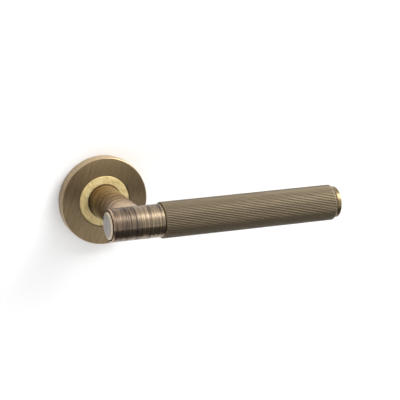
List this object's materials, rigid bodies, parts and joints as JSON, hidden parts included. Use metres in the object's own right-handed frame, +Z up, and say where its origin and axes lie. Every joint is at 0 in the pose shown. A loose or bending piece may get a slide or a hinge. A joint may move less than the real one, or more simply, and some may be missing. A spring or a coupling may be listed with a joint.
{
  "type": "door lever handle",
  "caption": "Reeded round bar lever set across a short neck on a round rose, spring-loaded, turning a square spindle to work a door latch",
  "frame": {"origin": "centre of the rose, on the face of the door, on the axis that the lever turns about", "axes": "+Y into the door along the spindle, -Y towards the hand, +X along the lever, +Z up"},
  "size_m": [0.1542, 0.1367, 0.053],
  "materials": {
    "bronzed_brass": "brushed antique brass, lacquered",
    "aged_grip": "reeded antique brass, lacquered",
    "bright_brass": "satin brass",
    "pale_cap": "satin antique brass, worn pale",
    "zinc": "die-cast zinc, as cast",
    "steel": "zinc-plated steel",
    "spring_steel": "oiled spring steel",
    "nylon": "moulded nylon"
  },
  "bodies": {
    "rose": {"mounting_plate": "zinc", "rose_cover": "bronzed_brass", "trim_ring": "bright_brass", "bearing_bush": "nylon", "return_spring": "spring_steel", "spring_anchor_pin": "steel", "stop_pins": "steel", "fixing_screws": "steel"},
    "lever": {"neck": "bronzed_brass", "neck_stud": "steel", "grub_screw": "steel", "spindle": "steel", "cross_barrel": "bronzed_brass", "core_rod": "steel", "grip_sleeve": "aged_grip", "heel_cap": "pale_cap", "tip_cap": "bronzed_brass", "drive_washer": "steel", "spring_drive_pin": "steel", "thrust_washer": "steel", "circlip": "spring_steel"}
  },
  "joints": [
    {"name": "lever_turn", "type": "hinge", "parent": "rose", "child": "lever", "pos_m": [0, 0, 0], "axis": [0, 1, 0], "range_deg": [0, 45], "stiffness_Nm_per_rad": 1, "springref_deg": -34.38, "deforming": ["return_spring"]}
  ]
}
